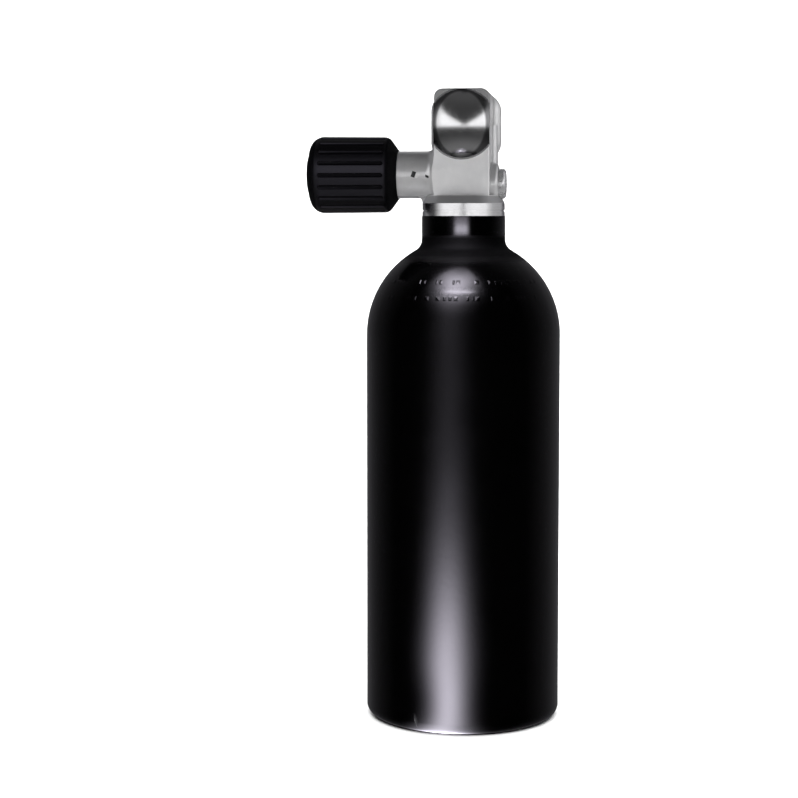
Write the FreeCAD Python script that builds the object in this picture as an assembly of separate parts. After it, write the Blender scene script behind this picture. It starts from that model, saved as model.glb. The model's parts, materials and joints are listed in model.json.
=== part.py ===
"""Small scuba tank: aluminium cylinder with a single-outlet valve and a rubber knob.

Millimetres. The origin is the centre of the base, +Z is up. The valve's outlet faces +Y, its round
polished back faces -Y, the knob is on the -X side and the blanking plug on the +X side.
"""
import FreeCAD
import Part
import math
import os

V = FreeCAD.Vector
X_AXIS = V(1, 0, 0)
Y_AXIS = V(0, 1, 0)
Z_AXIS = V(0, 0, 1)

# ---- working values ----
LITRE = 1e6
SAME_PLACE = 0.01
OVERCUT = 1.0
SINK = 0.5
RADIUS_STEP = 0.005

# ---- cylinder ----
CAPACITY_L = 1.5
CYL_R = 56.2
WALL_TOP_Z = 223.0
SHOULDER_H = 56.1
BASE_CORNER_R = 6.0
BASE_T = 13.5
INNER_CORNER_R = 20.0
INNER_SHOULDER_H = 43.5
NECK_R = 24.2
NECK_TOP_Z = 291.5
NECK_FILLET_R = 7.0
NECK_BORE_R = 12.5
SEAL_SEAT_R = 16.0
SEAL_SEAT_DEPTH = 2.7
MIN_WALL = 2.0
NECK_RING_GAP = 0.02
NECK_RING_STANDOFF = 0.25

# ---- valve body ----
STEM_R = 12.4
STEM_BOTTOM_Z = 259.0
STEM_CHAMFER = 1.5
COLLAR_R = 23.9
COLLAR_TOP_R = 21.5
COLLAR_CONE_H = 4.6
COLLAR_TOP_Z = 303.4
COLLAR_GROOVE_Z = 294.2
COLLAR_GROOVE_W = 0.7
COLLAR_GROOVE_DEPTH = 0.6
BLOCK_HALF_X = 16.0
BLOCK_HALF_Y = 15.5
BLOCK_TOP_Z = 364.1
BLOCK_TOP_CORNER_R = 5.0
BLOCK_EDGE_R = 0.8
HEAD_Z = 344.0
DOME_FACE_R = 19.4
DOME_RISE = 8.4
FLANGE_HALF = 20.3
FLANGE_TOP_Z = 363.5
FLANGE_CORNER_R = 11.0
FLANGE_FACE_Y = 24.0
FLANGE_EDGE = 0.8
FLANGE_T = 14.5
FLANGE_SHOULDER_ROUND = 4.0
REAR_HALF_X = 19.0
REAR_FRONT_Y = 4.0
REAR_BACK_Y = 16.5
REAR_EDGE_R = 2.5
BRANCH_R = 13.7
BRANCH_Z = 315.3
BRANCH_END_X = -40.4
BRANCH_FILLET_R = 5.0
BRANCH_FOOT_R = 4.0
BRANCH_FOOT_HALF_Y = 6.0

# ---- outlet: G 5/8 thread, plain bore at its major radius ----
OUTLET_R = 11.455
OUTLET_DEPTH = 16.0
OUTLET_MOUTH_CHAMFER = 1.0
OUTLET_RECESS_R = 8.2
OUTLET_RECESS_DEPTH = 1.2
PASSAGE_R = 2.4
RISER_INSET = 1.5

# ---- seat chamber and gland bore in the branch ----
CHAMBER_R = 8.1
CHAMBER_FLOOR_X = -6.5
SEAT_RIM_R = 3.6
SEAT_RIM_H = 1.4
GLAND_BORE_R = 10.6
GLAND_BORE_X = -24.0

# ---- side port ----
PORT_Z = 310.0
PORT_BOSS_R = 12.0
PORT_BOSS_END_X = 20.4
PORT_BOSS_ROUND = 2.0
PORT_R = 6.5
PORT_FLOOR_X = 8.0
PORT_SEAL_R = 8.5
PORT_SEAL_DEPTH = 2.0
SPOT_FACE_R = 9.4
PLUG_R = 6.4
PLUG_HEAD_R = 8.8
PLUG_END_X = 24.7
PLUG_HEAD_ROUND = 2.2
PLUG_SOCKET_AF = 8.0
PLUG_SOCKET_DEPTH = 5.0
PLUG_SHANK_INSET = 1.0
PLUG_RING_GAP = 0.06

# ---- dip tube ----
TUBE_R = 3.9
TUBE_BORE_R = 2.6
TUBE_LENGTH = 70.0
TUBE_SOCKET_R = 3.95
TUBE_SOCKET_DEPTH = 9.0
TUBE_CUT_DEG = 45

# ---- valve screw: the carrier moves one pitch for each turn of the spindle ----
THREAD_PITCH = 1.5
OPENING_TURNS = 2.25
TRAVEL = THREAD_PITCH * OPENING_TURNS
SEAT_GAP = 0.02
SEAT_DISC_R = 5.2
SEAT_DISC_T = 3.0
SEAT_DISC_PROUD = 1.2
SEAT_DISC_GAP = 0.02
SEAT_DISC_EDGE_R = 0.3
POCKET_FLOOR_T = 1.0
CARRIER_R = 8.0
CARRIER_LENGTH = 11.5
CARRIER_CHAMFER = 0.6
SLOT_W = 3.0
TONGUE_W = 2.8
TONGUE_H = 10.6
TONGUE_CLEARANCE = 0.5
FLANGE_GAP = 0.6
SPINDLE_FLANGE_R = 8.8
SPINDLE_FLANGE_T = 1.8
THRUST_WASHER_T = 0.6
THRUST_WASHER_GAP = 0.04
DRUM_R = 5.9
DRUM_GROOVE_R = 4.5
DRUM_GROOVE_W = 2.0
DRUM_GROOVE_INSET = 2.6
DRUM_GROOVE_SPACING = 4.6
SPINDLE_RING_GAP = 0.03
BACKUP_RING_T = 0.9
BACKUP_RING_GAP = 0.04
GLAND_RUNNING_R = 6.0
SPINDLE_SQUARE_AF = 5.6
SPINDLE_SHAFT_R = 4.0
SPINDLE_ROD_R = 2.75
SQUARE_REACH = 1.0
SPINDLE_TIP_R = 2.5
SPINDLE_END_X = -84.2

# ---- gland nut ----
GLAND_R = 10.5
GLAND_HEAD_R = 12.4
GLAND_HEAD_AF = 21.0
GLAND_HEAD_T = 5.2
GLAND_SEAL_T = 1.4
GLAND_RING_GAP = 0.03

# ---- knob ----
KNOB_INNER_X = -37.7
KNOB_OUTER_X = -90.4
KNOB_INNER_R = 21.9
KNOB_OUTER_R = 22.2
KNOB_MOUTH_R = 14.2
KNOB_MOUTH_TILT_DEG = 36.0
KNOB_SHOULDER_R = 5.0
KNOB_CORNER_R = 8.0
KNOB_END_RISE = 1.2
KNOB_RIB_COUNT = 20
KNOB_RIB_PHASE_DEG = 268.5
KNOB_GROOVE_R = 1.4
KNOB_GROOVE_DEPTH = 1.0
KNOB_HOLE_R = 10.8
KNOB_RIM_X = -89.8
KNOB_CORE_R = 17.4
KNOB_CORE_INNER_X = -42.6
KNOB_CORE_OUTER_X = -88.0
KNOB_WEB_INNER_X = -50.0
KNOB_WEB_OUTER_X = -58.0
KNOB_NUT_CAVITY_R = 13.4
KNOB_SPRING_CAVITY_R = 7.8
BUSH_R = 6.6
BUSH_GAP = 0.1
SPRING_WIRE_R = 0.55
SPRING_MEAN_R = 5.4
SPRING_TURNS = 6
SPRING_END_GAP = 0.02
KNOB_WASHER_R = 6.8
KNOB_WASHER_T = 1.2
KNOB_WASHER_X = -78.0
KNOB_WASHER_GAP = 0.1
KNOB_NUT_AF = 8.0
KNOB_NUT_T = 4.0
KNOB_NUT_GAP = 0.05


def line(a, b):
    """Straight edge between two points."""
    return Part.LineSegment(a, b).toShape()


def arc(a, mid, b):
    """Circular edge through three points."""
    return Part.Arc(a, mid, b).toShape()


def rz(r, z):
    """Point of a profile that is turned about the tank's axis."""
    return V(r, 0, z)


def corner(centre, radius, from_deg, to_deg, point):
    """Circular edge about a centre, in the plane that point(u, v) makes."""
    def at(angle):
        turn = math.radians(angle)
        return point(centre[0] + radius * math.cos(turn), centre[1] + radius * math.sin(turn))
    return arc(at(from_deg), at((from_deg + to_deg) / 2), at(to_deg))


def turned(edges, centre, axis):
    """Solid made by turning a closed profile once about an axis."""
    face = Part.Face(Part.Wire(Part.__sortEdges__(edges)))
    return face.revolve(centre, axis, 360)


def x_cylinder(radius, x_from, x_to, z, y=0):
    """Round bar along X."""
    return Part.makeCylinder(radius, abs(x_to - x_from), V(min(x_from, x_to), y, z), X_AXIS)


def y_cylinder(radius, y_from, y_to, z):
    """Round bar along Y, centred on the block."""
    return Part.makeCylinder(radius, y_to - y_from, V(0, y_from, z), Y_AXIS)


def x_box(x_from, x_to, height_y, height_z, z):
    """Block along X, centred on the knob's axis."""
    low = V(min(x_from, x_to), -height_y / 2, z - height_z / 2)
    return Part.makeBox(abs(x_to - x_from), height_y, height_z, low)


def x_hexagon(across_flats, x_from, x_to, z):
    """Hexagonal bar along X."""
    circumradius = across_flats / math.sqrt(3)
    points = []
    for step in range(7):
        turn = math.radians(60 * step)
        points.append(V(x_from, circumradius * math.cos(turn), z + circumradius * math.sin(turn)))
    return Part.Face(Part.makePolygon(points)).extrude(V(x_to - x_from, 0, 0))


def x_ring(outer_r, inner_r, x_from, x_to, z):
    """Flat ring about an axis along X."""
    return x_cylinder(outer_r, x_from, x_to, z).cut(x_cylinder(inner_r, x_from, x_to, z))


def x_o_ring(mean_r, section_r, x, z):
    """Round-section ring about an axis along X."""
    return Part.makeTorus(mean_r, section_r, V(x, 0, z), X_AXIS)


# ---------------------------------------------------------------- cylinder

def shoulder_edge(radius, height, r_end):
    """Elliptical shoulder, a little flatter than a ball, from the wall in to the given radius."""
    ellipse = Part.Ellipse(V(0, 0, WALL_TOP_Z), radius, height)
    ellipse.Axis = V(0, -1, 0)
    end_angle = math.acos(r_end / radius)
    return Part.Edge(ellipse, 0, end_angle)


def shoulder_z(radius, height, r):
    """Height of the elliptical shoulder at a radius."""
    return WALL_TOP_Z + height * math.sqrt(1 - (r / radius) ** 2)


def outer_form():
    """Outside of the bottle: base, wall and shoulder, with the neck blended in."""
    junction_z = shoulder_z(CYL_R, SHOULDER_H, NECK_R)
    edges = [
        line(rz(0, 0), rz(CYL_R - BASE_CORNER_R, 0)),
        corner((CYL_R - BASE_CORNER_R, BASE_CORNER_R), BASE_CORNER_R, -90, 0, rz),
        line(rz(CYL_R, BASE_CORNER_R), rz(CYL_R, WALL_TOP_Z)),
        shoulder_edge(CYL_R, SHOULDER_H, NECK_R),
        line(rz(NECK_R, junction_z), rz(NECK_R, NECK_TOP_Z)),
        line(rz(NECK_R, NECK_TOP_Z), rz(0, NECK_TOP_Z)),
        line(rz(0, NECK_TOP_Z), rz(0, 0)),
    ]
    solid = turned(edges, V(0, 0, 0), Z_AXIS)
    blend = []
    for edge in solid.Edges:
        on_junction = all(abs(v.Z - junction_z) < SAME_PLACE for v in edge.Vertexes)
        if on_junction and edge.Length > NECK_R:
            blend.append(edge)
    return solid.makeFillet(NECK_FILLET_R, blend)


def gas_space(inner_r):
    """Hollow of the bottle up to the underside of the valve's stem."""
    mouth_z = shoulder_z(inner_r, INNER_SHOULDER_H, NECK_BORE_R)
    edges = [
        line(rz(0, BASE_T), rz(inner_r - INNER_CORNER_R, BASE_T)),
        corner((inner_r - INNER_CORNER_R, BASE_T + INNER_CORNER_R), INNER_CORNER_R, -90, 0, rz),
        line(rz(inner_r, BASE_T + INNER_CORNER_R), rz(inner_r, WALL_TOP_Z)),
        shoulder_edge(inner_r, INNER_SHOULDER_H, NECK_BORE_R),
        line(rz(NECK_BORE_R, mouth_z), rz(0, mouth_z)),
        line(rz(0, mouth_z), rz(0, BASE_T)),
    ]
    return turned(edges, V(0, 0, 0), Z_AXIS)


def solve_inner_radius():
    """Inner radius that gives the stated water capacity."""
    low = INNER_SHOULDER_H + OVERCUT
    high = CYL_R - MIN_WALL
    while high - low > RADIUS_STEP:
        middle = (low + high) / 2
        if gas_space(middle).Volume < CAPACITY_L * LITRE:
            low = middle
        else:
            high = middle
    return middle


def make_cylinder_shell():
    inner_r = solve_inner_radius()
    print("inner radius", round(inner_r, 2), "wall", round(CYL_R - inner_r, 2))
    bore_from = shoulder_z(inner_r, INNER_SHOULDER_H, NECK_BORE_R) - SINK
    bore = Part.makeCylinder(NECK_BORE_R, NECK_TOP_Z - bore_from, V(0, 0, bore_from))
    seal_seat = Part.makeCylinder(SEAL_SEAT_R, SEAL_SEAT_DEPTH, V(0, 0, NECK_TOP_Z - SEAL_SEAT_DEPTH))
    return outer_form().cut(gas_space(inner_r)).cut(bore).cut(seal_seat)


def make_neck_o_ring():
    section_r = SEAL_SEAT_DEPTH / 2 - NECK_RING_GAP
    mean_r = STEM_R + section_r + NECK_RING_STANDOFF
    return Part.makeTorus(mean_r, section_r, V(0, 0, NECK_TOP_Z - SEAL_SEAT_DEPTH / 2), Z_AXIS)


# ---------------------------------------------------------------- valve body

def make_collar_and_stem():
    """Turned lower part: stem in the neck and the bright collar on top of it."""
    groove_r = COLLAR_R - COLLAR_GROOVE_DEPTH
    groove_top = COLLAR_GROOVE_Z + COLLAR_GROOVE_W
    cone_z = COLLAR_TOP_Z - COLLAR_CONE_H
    edges = [
        line(rz(0, STEM_BOTTOM_Z), rz(STEM_R - STEM_CHAMFER, STEM_BOTTOM_Z)),
        line(rz(STEM_R - STEM_CHAMFER, STEM_BOTTOM_Z), rz(STEM_R, STEM_BOTTOM_Z + STEM_CHAMFER)),
        line(rz(STEM_R, STEM_BOTTOM_Z + STEM_CHAMFER), rz(STEM_R, NECK_TOP_Z)),
        line(rz(STEM_R, NECK_TOP_Z), rz(COLLAR_R, NECK_TOP_Z)),
        line(rz(COLLAR_R, NECK_TOP_Z), rz(COLLAR_R, COLLAR_GROOVE_Z)),
        line(rz(COLLAR_R, COLLAR_GROOVE_Z), rz(groove_r, COLLAR_GROOVE_Z)),
        line(rz(groove_r, COLLAR_GROOVE_Z), rz(groove_r, groove_top)),
        line(rz(groove_r, groove_top), rz(COLLAR_R, groove_top)),
        line(rz(COLLAR_R, groove_top), rz(COLLAR_R, cone_z)),
        line(rz(COLLAR_R, cone_z), rz(COLLAR_TOP_R, COLLAR_TOP_Z)),
        line(rz(COLLAR_TOP_R, COLLAR_TOP_Z), rz(0, COLLAR_TOP_Z)),
        line(rz(0, COLLAR_TOP_Z), rz(0, STEM_BOTTOM_Z)),
    ]
    return turned(edges, V(0, 0, 0), Z_AXIS)


def make_block():
    """Square block with rounded top corners and slightly broken edges."""
    low = V(-BLOCK_HALF_X, -BLOCK_HALF_Y, NECK_TOP_Z + OVERCUT)
    block = Part.makeBox(2 * BLOCK_HALF_X, 2 * BLOCK_HALF_Y, BLOCK_TOP_Z - low.z, low)
    top_corners = []
    for edge in block.Edges:
        ends = [v.Point for v in edge.Vertexes]
        if abs(ends[1].y - ends[0].y) > BLOCK_HALF_Y and ends[0].z > HEAD_Z:
            top_corners.append(edge)
    block = block.makeFillet(BLOCK_TOP_CORNER_R, top_corners)
    faces_y = [e for e in block.Edges if e.BoundBox.YLength < SAME_PLACE and e.BoundBox.ZMin > low.z]
    return block.makeFillet(BLOCK_EDGE_R, faces_y)


def make_dome():
    """Convex round back, a slice of a large ball cut off by the block's flanks and top."""
    ball_r = (DOME_FACE_R ** 2 + DOME_RISE ** 2) / (2 * DOME_RISE)
    centre_y = ball_r - DOME_RISE - BLOCK_HALF_Y
    ball = Part.makeSphere(ball_r, V(0, centre_y, HEAD_Z))
    low = V(-BLOCK_HALF_X, -BLOCK_HALF_Y - DOME_RISE - OVERCUT, HEAD_Z - ball_r)
    height = BLOCK_TOP_Z - low.z
    window = Part.makeBox(2 * BLOCK_HALF_X, DOME_RISE + 2 * OVERCUT, height, low)
    return ball.common(window)


def is_rim_at_y(edge, y):
    """True for a circular edge that lies in the plane of constant y."""
    box = edge.BoundBox
    return abs(box.YMin - y) < SAME_PLACE and box.YLength < SAME_PLACE


def make_flange():
    """Squarish outlet flange with round corners, blended into the block behind it."""
    back_y = FLANGE_FACE_Y - FLANGE_T
    low = V(-FLANGE_HALF, back_y, HEAD_Z - FLANGE_HALF)
    flange = Part.makeBox(2 * FLANGE_HALF, FLANGE_T, FLANGE_TOP_Z - low.z, low)
    corners = [e for e in flange.Edges if e.BoundBox.YLength > FLANGE_T / 2]
    flange = flange.makeFillet(FLANGE_CORNER_R, corners)
    back_rim = [e for e in flange.Edges if is_rim_at_y(e, back_y)]
    flange = flange.makeFillet(FLANGE_SHOULDER_ROUND, back_rim)
    face_rim = [e for e in flange.Edges if is_rim_at_y(e, FLANGE_FACE_Y)]
    return flange.makeChamfer(FLANGE_EDGE, face_rim)


def make_rear_shoulders():
    """Wider rear half of the block, between the collar and the flange."""
    low = V(-REAR_HALF_X, REAR_FRONT_Y, COLLAR_TOP_Z)
    depth = REAR_BACK_Y - REAR_FRONT_Y
    rear = Part.makeBox(2 * REAR_HALF_X, depth, HEAD_Z - low.z, low)
    uprights = [e for e in rear.Edges if e.BoundBox.ZLength > depth]
    return rear.makeFillet(REAR_EDGE_R, uprights)


def make_branch():
    """Round branch for the knob, with a hollow-cornered blend into the block."""
    def xr(x, r):
        return V(x, 0, BRANCH_Z + r)
    blend_end = -BLOCK_HALF_X - BRANCH_FILLET_R
    blend_r = BRANCH_R + BRANCH_FILLET_R
    edges = [
        line(xr(0, 0), xr(0, blend_r)),
        line(xr(0, blend_r), xr(-BLOCK_HALF_X, blend_r)),
        corner((blend_end, blend_r), BRANCH_FILLET_R, 0, -90, xr),
        line(xr(blend_end, BRANCH_R), xr(BRANCH_END_X, BRANCH_R)),
        line(xr(BRANCH_END_X, BRANCH_R), xr(BRANCH_END_X, 0)),
        line(xr(BRANCH_END_X, 0), xr(0, 0)),
    ]
    branch = turned(edges, V(0, 0, BRANCH_Z), X_AXIS)
    low = V(BRANCH_END_X, -BLOCK_HALF_Y, NECK_TOP_Z + OVERCUT)
    window = Part.makeBox(-BRANCH_END_X, 2 * BLOCK_HALF_Y, BLOCK_TOP_Z - low.z, low)
    return branch.common(window)


def make_branch_foot():
    """Hollow-cornered blend between the underside of the branch and the collar."""
    arc_r = COLLAR_R + BRANCH_FOOT_R
    arc_z = BRANCH_Z - BRANCH_R * math.cos(math.asin(BRANCH_FOOT_HALF_Y / BRANCH_R)) - BRANCH_FOOT_R
    top_z = BRANCH_Z
    edges = [
        line(rz(0, arc_z), rz(COLLAR_R, arc_z)),
        corner((arc_r, arc_z), BRANCH_FOOT_R, 180, 90, rz),
        line(rz(arc_r, arc_z + BRANCH_FOOT_R), rz(arc_r, top_z)),
        line(rz(arc_r, top_z), rz(0, top_z)),
        line(rz(0, top_z), rz(0, arc_z)),
    ]
    foot = turned(edges, V(0, 0, 0), Z_AXIS)
    low = V(-arc_r - OVERCUT, -BRANCH_FOOT_HALF_Y, arc_z - OVERCUT)
    window = Part.makeBox(arc_r + OVERCUT, 2 * BRANCH_FOOT_HALF_Y, top_z - low.z, low)
    return foot.common(window)


def make_passages():
    """Bored spaces of the valve: gas way, seat chamber, gland bore, outlet, side port, tube socket."""
    outlet_floor = FLANGE_FACE_Y - OUTLET_DEPTH
    recess_floor = outlet_floor - OUTLET_RECESS_DEPTH
    cuts = [
        Part.makeCylinder(TUBE_SOCKET_R, TUBE_SOCKET_DEPTH, V(0, 0, STEM_BOTTOM_Z)),
        Part.makeCylinder(PASSAGE_R, BRANCH_Z - STEM_BOTTOM_Z, V(0, 0, STEM_BOTTOM_Z)),
        x_cylinder(PASSAGE_R, CHAMBER_FLOOR_X - SEAT_RIM_H, 0, BRANCH_Z),
        x_cylinder(CHAMBER_R, GLAND_BORE_X, CHAMBER_FLOOR_X, BRANCH_Z).cut(
            x_cylinder(SEAT_RIM_R, CHAMBER_FLOOR_X - SEAT_RIM_H, CHAMBER_FLOOR_X, BRANCH_Z)),
        x_cylinder(GLAND_BORE_R, BRANCH_END_X, GLAND_BORE_X, BRANCH_Z),
        y_cylinder(OUTLET_R, outlet_floor, FLANGE_FACE_Y, HEAD_Z),
        y_cylinder(OUTLET_RECESS_R, recess_floor, outlet_floor, HEAD_Z),
        x_cylinder(PORT_R, PORT_FLOOR_X, PORT_BOSS_END_X, PORT_Z),
        x_cylinder(PORT_SEAL_R, PORT_BOSS_END_X - PORT_SEAL_DEPTH, PORT_BOSS_END_X, PORT_Z),
        x_cylinder(PASSAGE_R, 0, PORT_FLOOR_X, PORT_Z),
        x_cylinder(SPOT_FACE_R, PORT_BOSS_END_X, COLLAR_R + OVERCUT, PORT_Z),
    ]
    riser_from = V(CHAMBER_FLOOR_X - RISER_INSET, 0, BRANCH_Z + CHAMBER_R - RISER_INSET)
    riser_to = V(0, recess_floor, HEAD_Z)
    riser = riser_to.sub(riser_from)
    cuts.append(Part.makeCylinder(PASSAGE_R, riser.Length, riser_from, riser))
    mouth = Part.makeCone(OUTLET_R, OUTLET_R + OUTLET_MOUTH_CHAMFER, OUTLET_MOUTH_CHAMFER,
                          V(0, FLANGE_FACE_Y - OUTLET_MOUTH_CHAMFER, HEAD_Z), Y_AXIS)
    cuts.append(mouth)
    return cuts


def make_valve_body():
    solid = make_collar_and_stem()
    boss = x_cylinder(PORT_BOSS_R, 0, PORT_BOSS_END_X, PORT_Z)
    outer_rim = [e for e in boss.Edges if e.BoundBox.XMin > PORT_BOSS_END_X - SAME_PLACE]
    boss = boss.makeFillet(PORT_BOSS_ROUND, outer_rim)
    pieces = (make_block(), make_dome(), make_flange(), make_rear_shoulders(),
              make_branch(), make_branch_foot(), boss)
    for piece in pieces:
        solid = solid.fuse(piece)
    for hollow in make_passages():
        solid = solid.cut(hollow)
    return solid.removeSplitter()


def make_side_port_plug():
    """Blanking plug: threaded shank, domed head and a hexagon socket."""
    head = x_cylinder(PLUG_HEAD_R, PORT_BOSS_END_X, PLUG_END_X, PORT_Z)
    rim = [e for e in head.Edges if e.BoundBox.XMin > PLUG_END_X - SAME_PLACE]
    head = head.makeFillet(PLUG_HEAD_ROUND, rim)
    shank = x_cylinder(PLUG_R, PORT_FLOOR_X + PLUG_SHANK_INSET, PORT_BOSS_END_X, PORT_Z)
    socket = x_hexagon(PLUG_SOCKET_AF, PLUG_END_X - PLUG_SOCKET_DEPTH, PLUG_END_X + OVERCUT, PORT_Z)
    return head.fuse(shank).cut(socket).removeSplitter()


def make_side_plug_o_ring():
    section_r = (PORT_SEAL_R - PLUG_R) / 2 - PLUG_RING_GAP
    mean_r = (PORT_SEAL_R + PLUG_R) / 2
    return x_o_ring(mean_r, section_r, PORT_BOSS_END_X - PORT_SEAL_DEPTH / 2, PORT_Z)


def make_dip_tube():
    """Plain tube with a slanted cut at its lower end."""
    top = STEM_BOTTOM_Z + TUBE_SOCKET_DEPTH
    bottom = STEM_BOTTOM_Z - TUBE_LENGTH
    tube = Part.makeCylinder(TUBE_R, top - bottom, V(0, 0, bottom))
    tube = tube.cut(Part.makeCylinder(TUBE_BORE_R, top - bottom, V(0, 0, bottom)))
    wedge = Part.makeBox(4 * TUBE_R, 4 * TUBE_R, 4 * TUBE_R, V(-2 * TUBE_R, -2 * TUBE_R, -4 * TUBE_R))
    wedge.rotate(V(0, 0, 0), Y_AXIS, TUBE_CUT_DEG)
    wedge.translate(V(0, 0, bottom + TUBE_R))
    return tube.cut(wedge)


# ---------------------------------------------------------------- valve screw

RIM_X = CHAMBER_FLOOR_X - SEAT_RIM_H
DISC_FRONT_X = RIM_X - SEAT_GAP
CARRIER_FRONT_X = DISC_FRONT_X - SEAT_DISC_PROUD
CARRIER_BACK_X = CARRIER_FRONT_X - CARRIER_LENGTH
SPINDLE_FLANGE_X = CARRIER_BACK_X - TRAVEL - FLANGE_GAP
WASHER_X = SPINDLE_FLANGE_X - SPINDLE_FLANGE_T
GLAND_INNER_X = WASHER_X - THRUST_WASHER_T
DRUM_INNER_X = WASHER_X
DRUM_OUTER_X = BRANCH_END_X - GLAND_HEAD_T
SLOT_FLOOR_X = CARRIER_FRONT_X - SEAT_DISC_T + SEAT_DISC_PROUD - POCKET_FLOOR_T
TONGUE_TIP_X = SLOT_FLOOR_X - TRAVEL - TONGUE_CLEARANCE
INNER_GROOVE_X = DRUM_INNER_X - DRUM_GROOVE_INSET
OUTER_GROOVE_X = INNER_GROOVE_X - DRUM_GROOVE_SPACING


def make_seat_disc():
    disc = x_cylinder(SEAT_DISC_R - SEAT_DISC_GAP, DISC_FRONT_X - SEAT_DISC_T, DISC_FRONT_X, BRANCH_Z)
    rim = [e for e in disc.Edges if e.BoundBox.XMin > DISC_FRONT_X - SAME_PLACE]
    return disc.makeFillet(SEAT_DISC_EDGE_R, rim)


def make_seat_carrier():
    """Threaded plug with a pocket for the disc in front and a slot for the tongue behind."""
    carrier = x_cylinder(CARRIER_R, CARRIER_BACK_X, CARRIER_FRONT_X, BRANCH_Z)
    rims = [e for e in carrier.Edges if e.BoundBox.XLength < SAME_PLACE]
    carrier = carrier.makeChamfer(CARRIER_CHAMFER, rims)
    pocket = x_cylinder(SEAT_DISC_R, DISC_FRONT_X - SEAT_DISC_T, CARRIER_FRONT_X + OVERCUT, BRANCH_Z)
    slot = x_box(CARRIER_BACK_X - OVERCUT, SLOT_FLOOR_X, 3 * CARRIER_R, SLOT_W, BRANCH_Z)
    return carrier.cut(pocket).cut(slot)


def make_drive_spindle():
    """Tongue, thrust flange, grooved drum, square, rod and threaded tip, turned from one bar."""
    tongue = x_box(TONGUE_TIP_X, SPINDLE_FLANGE_X, TONGUE_H, TONGUE_W, BRANCH_Z)
    square_from = KNOB_WEB_INNER_X + SINK
    square_to = KNOB_WEB_OUTER_X - SQUARE_REACH
    square = x_box(square_from, square_to, SPINDLE_SQUARE_AF, SPINDLE_SQUARE_AF, BRANCH_Z)
    square = square.common(x_cylinder(SPINDLE_SHAFT_R, square_from, square_to, BRANCH_Z))
    rounds = [
        x_cylinder(SPINDLE_FLANGE_R, WASHER_X, SPINDLE_FLANGE_X, BRANCH_Z),
        x_cylinder(DRUM_R, DRUM_OUTER_X, DRUM_INNER_X, BRANCH_Z),
        x_cylinder(SPINDLE_SHAFT_R, square_from, DRUM_OUTER_X, BRANCH_Z),
        x_cylinder(SPINDLE_ROD_R, KNOB_WASHER_X, square_to, BRANCH_Z),
        x_cylinder(SPINDLE_TIP_R, SPINDLE_END_X, KNOB_WASHER_X, BRANCH_Z),
    ]
    spindle = tongue.fuse(square)
    for bar in rounds:
        spindle = spindle.fuse(bar)
    for groove_x in (INNER_GROOVE_X, OUTER_GROOVE_X):
        width = DRUM_GROOVE_W
        if groove_x == INNER_GROOVE_X:
            width += BACKUP_RING_T
        groove = x_ring(DRUM_R + OVERCUT, DRUM_GROOVE_R, groove_x - width, groove_x, BRANCH_Z)
        spindle = spindle.cut(groove)
    return spindle.removeSplitter()


def make_spindle_o_ring(groove_x):
    section_r = (GLAND_RUNNING_R - DRUM_GROOVE_R) / 2 - SPINDLE_RING_GAP
    mean_r = (GLAND_RUNNING_R + DRUM_GROOVE_R) / 2
    return x_o_ring(mean_r, section_r, groove_x - DRUM_GROOVE_W / 2, BRANCH_Z)


def make_backup_ring():
    x_from = INNER_GROOVE_X - DRUM_GROOVE_W
    x_to = x_from - BACKUP_RING_T + BACKUP_RING_GAP
    outer_r = GLAND_RUNNING_R - BACKUP_RING_GAP
    return x_ring(outer_r, DRUM_GROOVE_R + BACKUP_RING_GAP, x_from, x_to, BRANCH_Z)


def make_thrust_washer():
    x_from = WASHER_X - THRUST_WASHER_GAP
    x_to = GLAND_INNER_X + THRUST_WASHER_GAP
    return x_ring(SPINDLE_FLANGE_R, GLAND_RUNNING_R + THRUST_WASHER_GAP, x_from, x_to, BRANCH_Z)


def make_gland_nut():
    """Threaded sleeve with a hexagonal head outside the branch."""
    head_end = BRANCH_END_X - GLAND_HEAD_T
    sleeve = x_cylinder(GLAND_R, BRANCH_END_X, GLAND_INNER_X, BRANCH_Z)
    head = x_hexagon(GLAND_HEAD_AF, BRANCH_END_X, head_end, BRANCH_Z)
    head = head.common(x_cylinder(GLAND_HEAD_R, BRANCH_END_X, head_end, BRANCH_Z))
    nut = sleeve.fuse(head)
    nut = nut.cut(x_cylinder(GLAND_RUNNING_R, head_end, GLAND_INNER_X, BRANCH_Z))
    seal_groove_x = BRANCH_END_X + GLAND_SEAL_T
    seal_groove = x_ring(GLAND_R + OVERCUT, GLAND_R - GLAND_SEAL_T, seal_groove_x, BRANCH_END_X, BRANCH_Z)
    return nut.cut(seal_groove).removeSplitter()


def make_gland_o_ring():
    section_r = GLAND_SEAL_T / 2 - GLAND_RING_GAP
    mean_r = GLAND_R - GLAND_SEAL_T / 2
    return x_o_ring(mean_r, section_r, BRANCH_END_X + GLAND_SEAL_T / 2, BRANCH_Z)


# ---------------------------------------------------------------- knob

def xr_knob(x, r):
    """Point of a profile that is turned about the knob's axis."""
    return V(x, 0, BRANCH_Z + r)


KNOB_TILT = math.radians(KNOB_MOUTH_TILT_DEG)
KNOB_SLOPE_END_R = KNOB_INNER_R - KNOB_SHOULDER_R * (1 - math.sin(KNOB_TILT))
KNOB_SLOPE_END_X = KNOB_INNER_X - (KNOB_SLOPE_END_R - KNOB_MOUTH_R) * math.tan(KNOB_TILT)
KNOB_BARREL_X = KNOB_SLOPE_END_X - KNOB_SHOULDER_R * math.cos(KNOB_TILT)


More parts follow.
